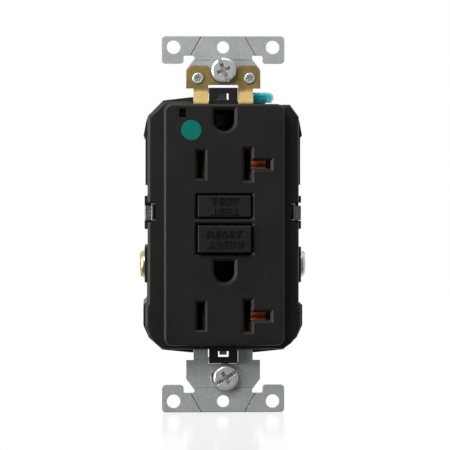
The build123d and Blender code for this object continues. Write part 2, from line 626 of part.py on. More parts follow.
# ------------------------------------------------------------------ trip mechanism
arm_y = (11.2, 11.7)
hinge_z = -18.5
with BuildPart() as lifter:
    block((-13.2, 13.2), (12.4, 16.8), (-7.2, -0.5))
    for side in (-1, 1):
        side_block(side, (9.8, 13.2), (11.8, 12.4), (reset_axis_z - 0.3, reset_axis_z + 0.3))
    block((-4.3, 4.3), (13.8, 14.8), (-8, 0), Mode.SUBTRACT)
    rod("Y", (0, reset_axis_z), 1.6, (10, 20), Mode.SUBTRACT)
finish("lifter", lifter)

latch_travel = 1.5
with BuildPart() as latch_plate:
    block((-4.0, 4.0), (14.0, 14.6), (-6.6, 0.4))
    block((-1.6, 1.6), (14.0, 14.6), (0.4, 2.6))
    block((-1.6, 1.6), (14.0, 17.4), (2.2, 2.8))
    with BuildSketch(at_depth(16)):
        with Locations((0, reset_axis_z + latch_travel / 2)):
            SlotOverall(2.9 + latch_travel, 2.9, rotation=90)
    extrude(amount=3, mode=Mode.SUBTRACT)
finish("latch_plate", latch_plate)

coil_y = 16.4
with BuildPart() as solenoid_bobbin:
    rod("Z", (0, coil_y), 2.6, (8.0, 22.0))
    for low in (8.0, 21.2):
        block((-4.8, 4.8), (coil_y - 4.8, coil_y + 4.8), (low, low + 0.8))
    rod("Z", (0, coil_y), 1.95, (7, 23), Mode.SUBTRACT)
finish("solenoid_bobbin", solenoid_bobbin)

with BuildPart() as solenoid_coil:
    rod("Z", (0, coil_y), 4.4, (8.85, 21.15))
    rod("Z", (0, coil_y), 2.65, (8, 22), Mode.SUBTRACT)
finish("solenoid_coil", solenoid_coil)

with BuildPart() as solenoid_frame:
    block((-5.9, 5.9), (coil_y - 4.0, coil_y + 4.0), (22.0, 22.9))
    block((-5.9, 5.9), (coil_y - 4.0, coil_y + 4.0), (7.1, 8.0))
    for side in (-1, 1):
        side_block(side, (5.0, 5.9), (coil_y - 4.0, coil_y + 4.0), (7.1, 22.9))
    rod("Z", (0, coil_y), 1.95, (6, 9), Mode.SUBTRACT)
finish("solenoid_frame", solenoid_frame)

with BuildPart() as plunger:
    rod("Z", (0, coil_y), 1.75, (4.2, 18.0))
    rod("Z", (0, coil_y), 2.5, (3.1, 4.2))
    chamfer(plunger.edges().filter_by(GeomType.CIRCLE).sort_by(Axis.Z)[-1], 0.3)
finish("plunger", plunger)

with BuildPart() as plunger_spring:
    with BuildLine() as plunger_helix:
        Helix(pitch=0.8, height=2.3, radius=2.15, center=(0, coil_y, 4.45))
    with BuildSketch(Plane(origin=plunger_helix.line @ 0, z_dir=plunger_helix.line % 0)):
        Circle(0.16)
    sweep(path=plunger_helix.line)
finish("plunger_spring", plunger_spring)

for side in (-1, 1):
    with BuildPart() as line_arm:
        side_block(side, (9.8, 13.2), arm_y, (hinge_z - 1.2, 7.0))
        side_block(side, (9.8, 13.2), (10.8, arm_y[1]), (hinge_z - 1.2, hinge_z + 1.2))
        for x in (10.6, 12.5):
            rod("Y", (side * x, 6.0), 0.7, (10.45, arm_y[0]))
    finish(f"line_arm_{pole[side]}", line_arm)

    # conductor from the line terminal, behind the sensor, through its bore, to the arm's root
    near, far = 0.5, 2.3
    with BuildPart() as line_bar:
        side_block(side, (14.1, 14.9), (13.5, 21.5), (line_z - 2.0, line_z + 2.0))
        side_block(side, (near, 14.9), (20.7, 21.5), (line_z - 2.0, line_z))
        side_block(side, (near, far), (20.7, 21.5), (-22.9, line_z))
        side_block(side, (near, far), (9.7, 21.5), (-22.9, -21.1))
        side_block(side, (near, 13.2), (9.7, 10.5), (-22.9, -21.1))
        side_block(side, (9.8, 13.2), (9.7, 10.5), (-22.9, hinge_z + 1.2))
    finish(f"line_bar_{pole[side]}", line_bar)

# ------------------------------------------------------------------ current sensor
sensor_z = -22.0
with BuildPart() as sensor_housing:
    rod("Y", (0, sensor_z), 8.3, (11.0, 20.4))
    rod("Y", (0, sensor_z), 7.6, (11.8, 21), Mode.SUBTRACT)
    rod("Y", (0, sensor_z), 4.0, (11.0, 20.4))
    rod("Y", (0, sensor_z), 3.3, (10, 21), Mode.SUBTRACT)
    # barrier in front of the line conductors
    block((-8.0, 8.0), (19.6, 20.4), (-15.0, -9.4))
finish("sensor_housing", sensor_housing)

core_spans = ((12.4, 15.4), (16.6, 19.6))
with BuildPart() as sensor_cores:
    for span in core_spans:
        rod("Y", (0, sensor_z), 7.0, span)
    rod("Y", (0, sensor_z), 5.0, (10, 21), Mode.SUBTRACT)
finish("sensor_cores", sensor_cores)

with BuildPart() as sensor_windings:
    for low, high in core_spans:
        rod("Y", (0, sensor_z), 7.45, (low - 0.4, high + 0.4))
    rod("Y", (0, sensor_z), 4.5, (10, 21), Mode.SUBTRACT)
    for low, high in core_spans:
        with BuildSketch(at_depth(high)):
            with Locations((0, sensor_z)):
                Circle(7.0)
                Circle(5.0, mode=Mode.SUBTRACT)
        extrude(amount=high - low, mode=Mode.SUBTRACT)
    # the windings are open at the top, where their leads come out
    block((-1.5, 1.5), (10, 21), (sensor_z, sensor_z + 9), Mode.SUBTRACT)
finish("sensor_windings", sensor_windings)

# ------------------------------------------------------------------ circuit board
with BuildPart() as circuit_board:
    block((-14.6, 14.6), board_y, (-31.4, 22.4))
    block((-14.6, 3.6), board_y, (20, 31.4))
finish("circuit_board", circuit_board)

with BuildPart() as varistor:
    rod("X", (17.2, 27.6), 4.3, (-6.6, -3.4))
    for z in (25.6, 29.6):
        block((-5.2, -4.8), (20.4, 22.0), (z - 0.2, z + 0.2))
    fillet(varistor.edges().filter_by(GeomType.CIRCLE), 0.6)
finish("varistor", varistor)

with BuildPart() as capacitors:
    block((8.0, 13.4), (15.4, 22.0), (13.6, 20.0))
    block((-13.4, -8.6), (16.6, 22.0), (9.4, 13.0))
    rod("Y", (10.8, 7.4), 2.6, (14.6, 22.0))
finish("capacitors", capacitors)

with BuildPart() as resistors:
    for x, z in ((-12.0, 16.6), (-9.4, 16.6), (-12.0, 24.6), (12.2, -25.4), (12.2, -28.4), (-12.2, -27.0)):
        block((x - 0.8, x + 0.8), (21.4, 22.0), (z - 0.45, z + 0.45))
    for z in (2.8, 4.8):
        rod("X", (20.6, z), 0.9, (-9.6, -4.4))
finish("resistors", resistors)

with BuildPart() as sense_chip:
    block((-12.6, -8.8), (20.5, 21.8), (-3.6, 1.4))
    for side in (-1, 1):
        for pin in range(4):
            z = -3.0 + 1.27 * pin
            low, high = sorted((-10.7 + side * 1.9, -10.7 + side * 2.8))
            block((low, high), (21.2, 22.0), (z - 0.2, z + 0.2))
finish("sense_chip", sense_chip)

with BuildPart() as trip_thyristor:
    with BuildSketch(Plane.XZ.offset(-20.2)):
        with Locations((11.0, 1.5)):
            Circle(2.3)
            with Locations((0, -1.9)):
                Rectangle(5, 1.6, mode=Mode.SUBTRACT)
    extrude(amount=4.6)
    for x in (9.73, 11.0, 12.27):
        block((x - 0.22, x + 0.22), (20.2, 22.0), (1.3, 1.7))
finish("trip_thyristor", trip_thyristor)

with BuildPart() as rectifier:
    block((5.6, 10.2), (19.4, 22.0), (-12.0 + 6.6, -1.2))
finish("rectifier", rectifier)

with BuildPart() as indicator_led:
    block((light_x - 0.8, light_x + 0.8), (20.9, 22.0), (light_z - 0.8, light_z + 0.8))
finish("indicator_led", indicator_led)

with BuildPart() as light_pipe:
    block((light_x - 0.85, light_x + 0.85), (-6.9, 20.7), (light_z - 1.1, light_z + 1.1))
finish("light_pipe", light_pipe)
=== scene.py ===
import json
import math

import bmesh
import bpy
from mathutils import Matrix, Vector

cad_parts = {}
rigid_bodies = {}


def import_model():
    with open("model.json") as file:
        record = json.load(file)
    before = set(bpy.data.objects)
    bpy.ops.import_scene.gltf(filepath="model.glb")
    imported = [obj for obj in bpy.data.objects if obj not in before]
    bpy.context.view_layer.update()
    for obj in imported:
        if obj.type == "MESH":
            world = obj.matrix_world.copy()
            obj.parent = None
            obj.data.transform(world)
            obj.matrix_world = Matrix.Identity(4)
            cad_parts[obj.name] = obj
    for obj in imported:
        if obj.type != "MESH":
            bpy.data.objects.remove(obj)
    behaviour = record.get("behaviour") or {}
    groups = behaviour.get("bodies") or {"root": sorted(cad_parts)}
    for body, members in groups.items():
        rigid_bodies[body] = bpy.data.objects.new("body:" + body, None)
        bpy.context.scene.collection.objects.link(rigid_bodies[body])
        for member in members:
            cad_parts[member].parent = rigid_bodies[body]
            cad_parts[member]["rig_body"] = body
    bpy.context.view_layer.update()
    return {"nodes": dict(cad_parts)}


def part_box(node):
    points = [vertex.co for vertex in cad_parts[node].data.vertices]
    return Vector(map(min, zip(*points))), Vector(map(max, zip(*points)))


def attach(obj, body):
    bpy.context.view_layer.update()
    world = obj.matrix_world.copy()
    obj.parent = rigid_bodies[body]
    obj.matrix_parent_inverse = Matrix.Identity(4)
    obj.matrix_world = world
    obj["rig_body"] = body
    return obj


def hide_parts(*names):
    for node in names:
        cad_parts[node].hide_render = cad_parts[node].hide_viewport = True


MM = 0.001

# threads: number 6-32 screws, 32 turns to the inch
THREAD_PITCH = 25.4 * MM / 32
THREAD_DEPTH = 0.62
THREAD_ROOT_FLAT = 0.12
THREAD_FLANK = 0.72
THREAD_RUN_IN = 0.9
THREAD_SIDES = 36
RINGS_PER_PITCH = 10
NECK_RELIEF = 0.35 * MM
TIP_CHAMFER = 0.5 * MM
CREST_BOX_SCREW = 1.7 * MM
CREST_TERMINAL_SCREW = 2.05 * MM
NECK_BOX_SCREW = 3.0 * MM
NECK_TERMINAL_SCREW = 0.6 * MM
HEAD_BOX_SCREW = 1.9 * MM
HEAD_TERMINAL_SCREW = 1.7 * MM
HEAD_GROUND_SCREW = 2.2 * MM
FACE_TOLERANCE = 2e-6

# words on the buttons
WORD_HEIGHT = 2.0 * MM
WORD_RISE = 0.30 * MM
WORD_SUNK = 0.10 * MM
LETTER_EXTRUDE = 0.03
LETTER_BEVEL = 0.012
LETTER_WEIGHT = 0.022
LETTER_SPACING = 1.12

# the floor reaches far past the camera's view
FLOOR_HALF = 12.0
FLOOR_CELLS = 8
FLOOR_GLOW = 1.06
FLOOR_MIRROR = 0.26

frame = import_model()
nodes = frame["nodes"]


# ------------------------------------------------------------------ material kit
def rgb(r, g, b):
    return (r, g, b, 1.0)


def set_range(node, low, high, to_low, to_high):
    """Sets a Map Range node's four limits."""
    limits = {"From Min": low, "From Max": high, "To Min": to_low, "To Max": to_high}
    for key, number in limits.items():
        node.inputs[key].default_value = number


class Surface:
    """A node material under construction, with one Principled shader."""

    def __init__(self, name):
        self.material = bpy.data.materials.new(name)
        self.material.use_nodes = True
        self.tree = self.material.node_tree
        self.tree.nodes.clear()
        self.shader = self.node("ShaderNodeBsdfPrincipled")
        out = self.node("ShaderNodeOutputMaterial")
        self.link(self.shader.outputs["BSDF"], out.inputs["Surface"])
        self.coords = self.node("ShaderNodeTexCoord").outputs["Object"]

    def node(self, kind, **settings):
        made = self.tree.nodes.new(kind)
        for key, value in settings.items():
            setattr(made, key, value)
        return made

    def link(self, a, b):
        self.tree.links.new(a, b)

    def put(self, socket, value):
        """Links a socket, or sets a constant."""
        if hasattr(value, "links"):
            self.link(value, socket)
        else:
            socket.default_value = value

    def set(self, **values):
        for key, value in values.items():
            self.put(self.shader.inputs[key.replace("_", " ")], value)

    def stretched(self, scale, turn=(0, 0, 0)):
        """Object coordinates in metres, stretched and turned."""
        mapping = self.node("ShaderNodeMapping")
        self.link(self.coords, mapping.inputs["Vector"])
        mapping.inputs["Scale"].default_value = scale
        mapping.inputs["Rotation"].default_value = turn
        return mapping.outputs["Vector"]

    def noise(self, scale, detail=2.0, rough=0.5, vector=None, distortion=0.0):
        made = self.node("ShaderNodeTexNoise")
        self.link(vector or self.coords, made.inputs["Vector"])
        made.inputs["Scale"].default_value = scale
        made.inputs["Detail"].default_value = detail
        made.inputs["Roughness"].default_value = rough
        made.inputs["Distortion"].default_value = distortion
        return made.outputs["Fac"]

    def bands(self, direction, scale, distortion=0.0, detail=2.0):
        """Parallel bands across one axis."""
        made = self.node("ShaderNodeTexWave", wave_type="BANDS", bands_direction=direction)
        self.link(self.coords, made.inputs["Vector"])
        made.inputs["Scale"].default_value = scale
        made.inputs["Distortion"].default_value = distortion
        made.inputs["Detail"].default_value = detail
        return made.outputs["Fac"]

    def remap(self, value, low, high, to_low=0.0, to_high=1.0):
        made = self.node("ShaderNodeMapRange")
        self.link(value, made.inputs["Value"])
        set_range(made, low, high, to_low, to_high)
        return made.outputs["Result"]

    def math(self, operation, a, b=0.0):
        made = self.node("ShaderNodeMath", operation=operation)
        self.put(made.inputs[0], a)
        self.put(made.inputs[1], b)
        return made.outputs["Value"]

    def blend(self, factor, a, b):
        """Colour a to colour b by factor."""
        made = self.node("ShaderNodeMix", data_type="RGBA")
        self.put(made.inputs[0], factor)
        self.put(made.inputs[6], a)
        self.put(made.inputs[7], b)
        return made.outputs[2]

    def rounded_normal(self, radius):
        rounded = self.node("ShaderNodeBevel", samples=6)
        rounded.inputs["Radius"].default_value = radius
        return rounded.outputs["Normal"]

    def edges(self, radius, low=0.02, high=0.35):
        """1 on edges and corners, 0 on open faces."""
        rounded = self.rounded_normal(radius)
        plain = self.node("ShaderNodeNewGeometry").outputs["Normal"]
        dot = self.node("ShaderNodeVectorMath", operation="DOT_PRODUCT")
        self.link(rounded, dot.inputs[0])
        self.link(plain, dot.inputs[1])
        return self.remap(dot.outputs["Value"], 1.0 - low, 1.0 - high)

    def crevice_shade(self, reach, low=0.35, high=0.85):
        """Ambient-occlusion mask for painted shade: 1 deep in grooves and corners, 0 on open faces."""
        near = self.node("ShaderNodeAmbientOcclusion", samples=6)
        near.inputs["Distance"].default_value = reach
        return self.remap(near.outputs["AO"], high, low)

    def relief(self, layers, round_edges=0.0):
        """Stacks bump layers (height, strength, distance) and sets the normal."""
        normal = self.rounded_normal(round_edges) if round_edges else None
        for height, strength, distance in layers:
            bump = self.node("ShaderNodeBump")
            bump.inputs["Strength"].default_value = strength
            bump.inputs["Distance"].default_value = distance
            self.link(height, bump.inputs["Height"])
            if normal is not None:
                self.link(normal, bump.inputs["Normal"])
            normal = bump.outputs["Normal"]
        self.link(normal, self.shader.inputs["Normal"])

    def scratches(self, density):
        """Thin straight scratches in three directions; 1 in a scratch."""
        total = None
        for turn, offset in (((0.3, 0.5, 0.4), 0.0), ((1.1, 0.2, 1.9), 0.015), ((0.6, 1.4, 2.7), 0.03)):
            vector = self.stretched((5200, 5200, 90), turn)
            start = 0.74 - 0.06 * density + offset * 0.2
            line = self.remap(self.noise(1.0, 1.0, 0.5, vector), start, 0.80)
            total = line if total is None else self.math("MAXIMUM", total, line)
        return total


def plastic(name, dark, light, roughness, wear_and_highlight, grain=0.10, wear_highlight_radius=0.00035, specks=True, coat=0.0):
    """Moulded plastic with a spark-eroded grain, faint flow marks, scuffs and dust, with edges lightened
    partly as wear and partly as painted highlight, and painted shade darkening grooves and corners.
    """
    s = Surface(name)
    flow = s.noise(70, 4, 0.6, distortion=0.6)
    grain_map = s.noise(5200, 2, 0.7)
    colour = s.blend(s.remap(flow, 0.3, 0.7), dark, light)
    # Edges lightened: partly wear, partly painted highlight.
    worn_and_highlit = s.math("MULTIPLY", s.edges(wear_highlight_radius), s.remap(s.noise(420, 3, 0.6), 0.36, 0.64, 0.45, 1.0))
    colour = s.blend(s.math("MULTIPLY", worn_and_highlit, 0.55), colour, wear_and_highlight)
    scuffs = s.scratches(0.15)
    colour = s.blend(s.math("MULTIPLY", scuffs, 0.25), colour, wear_and_highlight)
    if specks:
        dust = s.remap(s.noise(2600, 1, 0.5), 0.77, 0.80)
        colour = s.blend(s.math("MULTIPLY", dust, 0.30), colour, rgb(0.22, 0.21, 0.19))
    # Painted shade: ambient occlusion darkens grooves and corners towards near black.
    s.set(Base_Color=s.blend(s.math("MULTIPLY", s.crevice_shade(0.0007), 0.7), colour, rgb(0.001, 0.001, 0.001)))
    rough = s.remap(flow, 0.3, 0.7, roughness - 0.05, roughness + 0.05)
    rough = s.math("ADD", rough, s.remap(grain_map, 0.3, 0.7, -0.04, 0.04))
    s.set(Roughness=s.math("SUBTRACT", rough, s.math("MULTIPLY", worn_and_highlit, 0.10)))
    s.set(IOR=1.46, Specular_IOR_Level=0.30)
    if coat:
        s.set(Coat_Weight=coat, Coat_Roughness=0.25)
    ripple = s.noise(260, 2, 0.5)
    s.relief([(grain_map, grain, 0.00003), (ripple, 0.06, 0.00008), (scuffs, -0.10, 0.00002)], 0.00012)
    return s.material


def metal(name, dark, light, roughness, grain=0.12, scratch=0.4, specks=None, patches=None, wear_and_highlight=None,
          grain_scale=3800, metallic=1.0, shade_reach=0.0009):
    """Metal with rolled or plated grain, patches of finish, scratches, edges lightened partly as wear and
    partly as painted highlight, and painted shade darkening grooves and corners.
    """
    s = Surface(name)
    cloud = s.noise(150, 5, 0.65, distortion=0.8)
    fine = s.noise(grain_scale, 3, 0.7)
    rolled = s.noise(1.0, 2, 0.6, s.stretched((300, 2600, 2600)))
    colour = s.blend(s.remap(cloud, 0.3, 0.7), dark, light)
    colour = s.blend(s.remap(fine, 0.25, 0.75, 0.0, 0.35), colour, light)
    if patches:
        patch = s.remap(s.noise(330, 4, 0.7, distortion=1.5), 0.52, 0.70, 0.0, 0.55)
        colour = s.blend(patch, colour, patches)
    if specks:
        colour = s.blend(s.remap(s.noise(2300, 2, 0.5), 0.70, 0.76, 0.0, 0.7), colour, specks)
    scuffs = s.scratches(scratch)
    # Edges lightened: partly wear, partly painted highlight.
    rubbed_and_highlit = s.edges(0.00025)
    colour = s.blend(s.math("MULTIPLY", s.math("MAXIMUM", scuffs, rubbed_and_highlit), 0.45), colour, wear_and_highlight or light)
    # Painted shade: ambient occlusion darkens grooves and corners.
    s.set(Base_Color=s.blend(s.math("MULTIPLY", s.crevice_shade(shade_reach), 0.85), colour, rgb(0.012, 0.011, 0.010)))
    s.set(Metallic=metallic)
    rough = s.remap(cloud, 0.3, 0.7, roughness - 0.06, roughness + 0.07)
    rough = s.math("ADD", rough, s.remap(fine, 0.3, 0.7, -0.05, 0.06))
    s.set(Roughness=s.math("SUBTRACT", rough, s.math("MULTIPLY", rubbed_and_highlit, 0.12)))
    layers = [(fine, grain, 0.00003), (rolled, grain * 0.6, 0.00003), (scuffs, -0.25, 0.00002)]
    s.relief(layers, 0.00010)
    return s.material


def galvanised(name):
    """Rolled, zinc-coated sheet: cool grey, matt, with a salt-and-pepper grain and faint spangle, edges
    lightened partly as wear and partly as painted highlight, and painted shade darkening grooves and corners.
    """
    s = Surface(name)
    salt = s.noise(4700, 3, 0.75)
    pepper = s.noise(3900, 3, 0.8)
    cloud = s.noise(120, 4, 0.6)
    spangle = s.remap(s.noise(900, 1, 0.4, distortion=2.0), 0.35, 0.65)
    grey = s.blend(s.remap(cloud, 0.3, 0.7), rgb(0.36, 0.39, 0.395), rgb(0.43, 0.465, 0.47))
    grey = s.blend(s.remap(salt, 0.50, 0.70, 0.0, 0.8), grey, rgb(0.62, 0.66, 0.67))
    grey = s.blend(s.remap(pepper, 0.50, 0.68, 0.0, 0.7), grey, rgb(0.19, 0.21, 0.22))
    grey = s.blend(s.math("MULTIPLY", spangle, 0.12), grey, rgb(0.60, 0.61, 0.62))
    scuffs = s.scratches(0.35)
    # Edges lightened: partly wear, partly painted highlight.
    rubbed_and_highlit = s.edges(0.0003)
    grey = s.blend(s.math("MULTIPLY", s.math("MAXIMUM", scuffs, rubbed_and_highlit), 0.45), grey, rgb(0.78, 0.79, 0.80))
    # Painted shade: ambient occlusion darkens grooves and corners.
    grey = s.blend(s.math("MULTIPLY", s.crevice_shade(0.0005, 0.3, 0.8), 0.9), grey, rgb(0.03, 0.032, 0.034))
    s.set(Base_Color=grey, Metallic=0.40)
    rough = s.math("ADD", s.remap(salt, 0.3, 0.7, 0.50, 0.38), s.remap(cloud, 0.3, 0.7, -0.03, 0.05))
    s.set(Roughness=rough)
    rolled = s.noise(1.0, 2, 0.6, s.stretched((260, 3000, 3000)))
    s.relief([(salt, 0.22, 0.00003), (rolled, 0.10, 0.00003), (scuffs, -0.2, 0.00002)], 0.00015)
    return s.material


def fibre(name):
    """Vulcanised fibre board: off-white, matted fibres."""
    s = Surface(name)
    strands = s.noise(1.0, 4, 0.7, s.stretched((900, 6000, 2500), (0.4, 0.2, 0.9)))
    colour = s.blend(s.remap(strands, 0.3, 0.7), rgb(0.62, 0.60, 0.54), rgb(0.84, 0.83, 0.79))
    s.set(Base_Color=colour, Roughness=s.remap(strands, 0.3, 0.7, 0.75, 0.9))
    s.relief([(strands, 0.4, 0.00005)], 0.0001)
    return s.material


def laminate(name):
    """Glass-epoxy board: green solder mask over woven glass, with darker copper areas."""
    s = Surface(name)
    weave = s.math("MULTIPLY", s.bands("X", 700), s.bands("Z", 700))
    tracks = s.remap(s.noise(240, 2, 0.4), 0.48, 0.52)
    colour = s.blend(tracks, rgb(0.010, 0.085, 0.035), rgb(0.018, 0.14, 0.06))
    s.set(Base_Color=s.blend(s.math("MULTIPLY", weave, 0.25), colour, rgb(0.05, 0.22, 0.10)))
    s.set(Roughness=s.remap(s.noise(900), 0.3, 0.7, 0.28, 0.42), Coat_Weight=0.3)
    s.relief([(weave, 0.15, 0.00003)], 0.00008)
    return s.material


def windings(name):
    """Enamelled magnet wire: fine turns across the spool."""
    s = Surface(name)
    turns = s.bands("Z", 1100, distortion=0.6, detail=1.0)
    colour = s.blend(turns, rgb(0.13, 0.025, 0.006), rgb(0.62, 0.20, 0.06))
    s.set(Base_Color=colour, Metallic=0.7, Roughness=s.remap(s.noise(900), 0.3, 0.7, 0.25, 0.4))
    s.relief([(turns, 0.6, 0.00008)])
    return s.material


def mark_paint(name):
    """Flat printed paint of the grade mark, slightly uneven."""
    s = Surface(name)
    cloud = s.noise(380, 4, 0.6)
    fine = s.noise(5600, 2, 0.6)
    colour = s.blend(s.remap(cloud, 0.3, 0.7), rgb(0.0, 0.128, 0.096), rgb(0.0, 0.150, 0.112))
    colour = s.blend(s.remap(fine, 0.6, 0.75, 0.0, 0.5), colour, rgb(0.0, 0.18, 0.14))
    s.set(Base_Color=colour, Roughness=s.remap(fine, 0.3, 0.7, 0.5, 0.66), Specular_IOR_Level=0.12)
    s.relief([(fine, 0.14, 0.00003)], 0.0001)
    return s.material


def dyed_metal(name):
    """Green-blue dyed steel of the ground screw, glossy lacquer over a brushed base, its edges lightened
    partly as wear and partly as painted highlight.
    """
    s = Surface(name)
    brushed = s.noise(1.0, 2, 0.6, s.stretched((3600, 3600, 500)))
    cloud = s.noise(420, 3, 0.6, distortion=1.0)
    colour = s.blend(s.remap(cloud, 0.35, 0.65), rgb(0.0, 0.46, 0.55), rgb(0.02, 0.68, 0.78))
    # Edges lightened towards pale cyan: partly wear, partly painted highlight.
    rubbed_and_highlit = s.edges(0.00025)
    colour = s.blend(s.math("MULTIPLY", rubbed_and_highlit, 0.6), colour, rgb(0.25, 0.75, 0.82))
    s.set(Base_Color=colour, Metallic=0.40, Roughness=s.remap(brushed, 0.3, 0.7, 0.22, 0.34), Coat_Weight=0.8)
    s.relief([(brushed, 0.18, 0.00003), (cloud, 0.12, 0.00008)], 0.00015)
    return s.material


def smoked_clear(name):
    """Smoked clear plastic of the light pipe."""
    s = Surface(name)
    haze = s.noise(700, 3, 0.6)
    s.set(Base_Color=s.blend(s.remap(haze, 0.3, 0.7), rgb(0.0025, 0.0025, 0.003), rgb(0.006, 0.006, 0.007)))
    s.set(Roughness=s.remap(haze, 0.3, 0.7, 0.08, 0.18), Specular_IOR_Level=0.15, IOR=1.49)
    s.relief([(haze, 0.04, 0.00003)], 0.0001)
    return s.material


materials = {
    "cover_plastic": plastic("cover_plastic", rgb(0.0098, 0.0097, 0.0094), rgb(0.0128, 0.0126, 0.0121), 0.42,
                             wear_and_highlight=rgb(0.055, 0.053, 0.050)),
    "housing_plastic": plastic("housing_plastic", rgb(0.012, 0.0105, 0.0095), rgb(0.019, 0.016, 0.014), 0.46,
                               wear_and_highlight=rgb(0.07, 0.063, 0.058), grain=0.16),
    "inner_plastic": plastic("inner_plastic", rgb(0.010, 0.010, 0.011), rgb(0.016, 0.016, 0.018), 0.40,
                             wear_and_highlight=rgb(0.06, 0.06, 0.065)),
    "green_mark": mark_paint("green_mark"),
    "strap_steel": galvanised("strap_steel"),
    "zinc_steel": metal("zinc_steel", rgb(0.58, 0.60, 0.62), rgb(0.80, 0.82, 0.84), 0.17, scratch=0.25,
                        patches=rgb(0.50, 0.53, 0.58), wear_and_highlight=rgb(0.95, 0.95, 0.95), grain=0.025,
                        grain_scale=2400, metallic=0.60, shade_reach=0.0005),
    "spring_steel": metal("spring_steel", rgb(0.30, 0.29, 0.28), rgb(0.52, 0.51, 0.50), 0.26, scratch=0.5),
    "brass": metal("brass", rgb(0.31, 0.215, 0.072), rgb(0.45, 0.335, 0.130), 0.38, scratch=0.45,
                   patches=rgb(0.30, 0.20, 0.065), specks=rgb(0.80, 0.66, 0.36), wear_and_highlight=rgb(0.90, 0.74, 0.42),
                   metallic=0.80),
    "copper": metal("copper", rgb(0.76, 0.36, 0.22), rgb(0.95, 0.52, 0.36), 0.42, scratch=0.4,
                    patches=rgb(0.62, 0.20, 0.10), wear_and_highlight=rgb(0.98, 0.66, 0.48), shade_reach=0.0002),
    "green_screw": dyed_metal("green_screw"),
    "fibre": fibre("fibre"),
    "core_metal": metal("core_metal", rgb(0.10, 0.10, 0.105), rgb(0.19, 0.19, 0.20), 0.5, scratch=0.2),
    "board_laminate": laminate("board_laminate"),
    "component_blue": plastic("component_blue", rgb(0.01, 0.05, 0.20), rgb(0.02, 0.08, 0.28), 0.3,
                              wear_and_highlight=rgb(0.12, 0.2, 0.4), specks=False, coat=0.4),
    "component_dark": plastic("component_dark", rgb(0.012, 0.012, 0.013), rgb(0.022, 0.022, 0.024), 0.5,
                              wear_and_highlight=rgb(0.08, 0.08, 0.08)),
    "clear_plastic": smoked_clear("clear_plastic"),
}
clip_steel = metal("clip_steel", rgb(0.19, 0.195, 0.20), rgb(0.33, 0.34, 0.35), 0.33, scratch=0.5,
                   wear_and_highlight=rgb(0.80, 0.81, 0.82), grain=0.06, shade_reach=0.0004)
screw_brass = metal("screw_brass", rgb(0.35, 0.31, 0.19), rgb(0.56, 0.51, 0.34), 0.28, scratch=0.4,
                    wear_and_highlight=rgb(0.92, 0.88, 0.72), grain=0.04, grain_scale=2400)
# Painted shade: a far darker copy of brass for the ground contacts, which sit deep in the ground slot.
shaded_brass = metal("shaded_brass", rgb(0.030, 0.021, 0.008), rgb(0.060, 0.043, 0.017), 0.45, scratch=0.2,
                   grain=0.05)
# Painted shade and highlight: the letters are near black, far darker than the button, and their edges are
# lightened as painted highlight.
shaded_word_plastic = plastic("shaded_word_plastic", rgb(0.0010, 0.0010, 0.0010), rgb(0.0016, 0.0016, 0.0016), 0.50,
                       wear_and_highlight=rgb(0.20, 0.20, 0.19), specks=False, wear_highlight_radius=0.00012)
wire_material = windings("magnet_wire")

for name, node in nodes.items():
    for slot in node.material_slots:
        slot.material = materials[slot.material.name.split(".")[0]]
for material, names in (
    (wire_material, ("solenoid_coil", "sensor_windings")),
    (clip_steel, ("side_clips", "end_latches")),
    (screw_brass, ("line_screw_hot", "load_screw_hot", "line_clamp_hot", "load_clamp_hot")),
    # the ground contacts take the brass copy painted with shade
    (shaded_brass, ("ground_contact_upper", "ground_contact_lower")),
):
    for name in names:
        for slot in nodes[name].material_slots:
            slot.material = material


# ------------------------------------------------------------------ threaded screws
def frame_on(axis):
    """Two unit vectors square to an axis."""
    axis = Vector(axis).normalized()
    side = axis.orthogonal().normalized()
    return axis, side, axis.cross(side).normalized()


def thread_radius(phase, root, crest):
    """Rounded 60-degree thread form over one pitch, phase 0 to 1."""
    rise = 1.0 - abs(2.0 * (phase % 1.0) - 1.0)
    form = min(1.0, max(0.0, (rise - THREAD_ROOT_FLAT) / THREAD_FLANK))
    return root + (crest - root) * form


